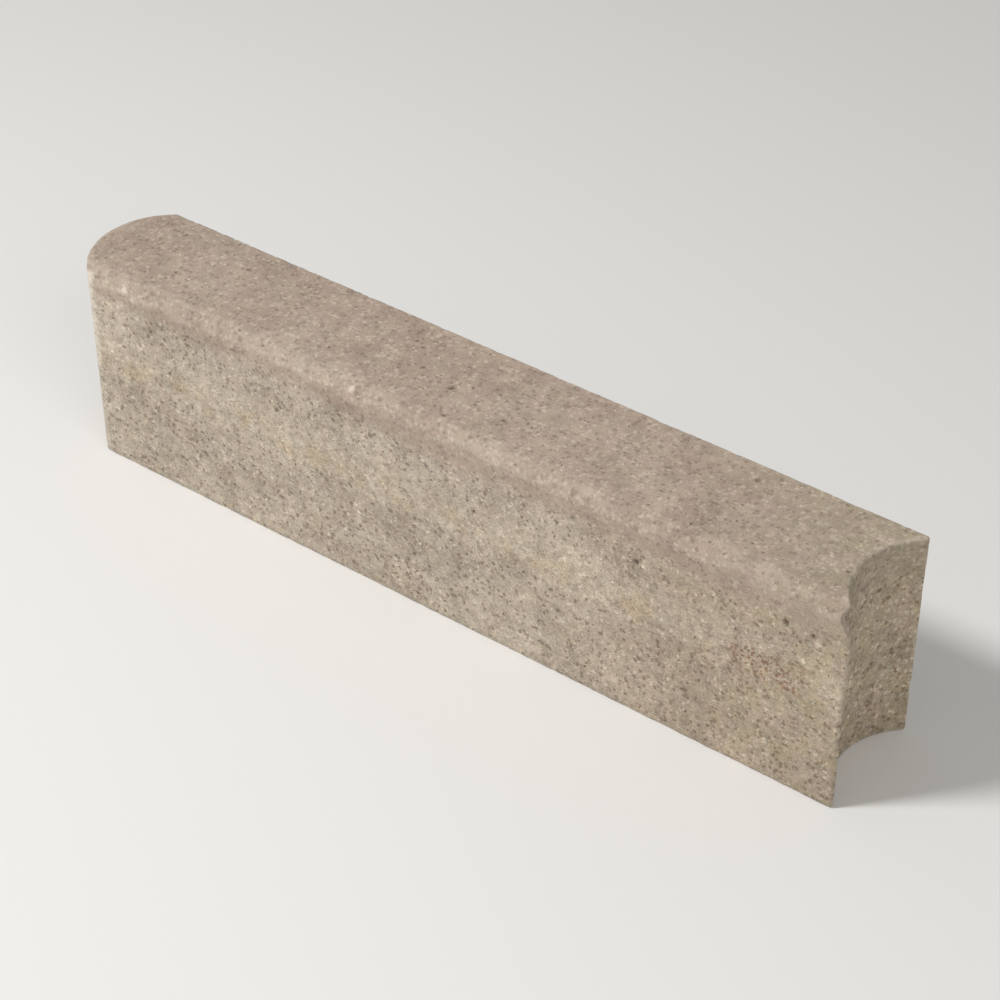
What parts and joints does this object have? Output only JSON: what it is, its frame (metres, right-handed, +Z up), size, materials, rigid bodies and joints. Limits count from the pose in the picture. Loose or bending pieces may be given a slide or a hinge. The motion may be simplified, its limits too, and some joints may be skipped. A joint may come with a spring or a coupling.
{
  "type": "concrete kerb stone",
  "caption": "Cast concrete garden kerb with a flat top rounded along the paving side, a round left end and a hollow right end that takes the next stone's round end, on a flat foot.",
  "frame": {"origin": "middle of the underside", "axes": "+X along the stone towards its hollow end, +Y from the paving side to the planted side, +Z up"},
  "size_m": [0.6084, 0.088, 0.15],
  "materials": {
    "concrete": "cast concrete, brownish grey, fine and smooth on the top and its rounded edge, lighter, sandy and grainy on the sides below"
  },
  "bodies": {
    "root": {"kerb_stone": "concrete"}
  },
  "joints": []
}
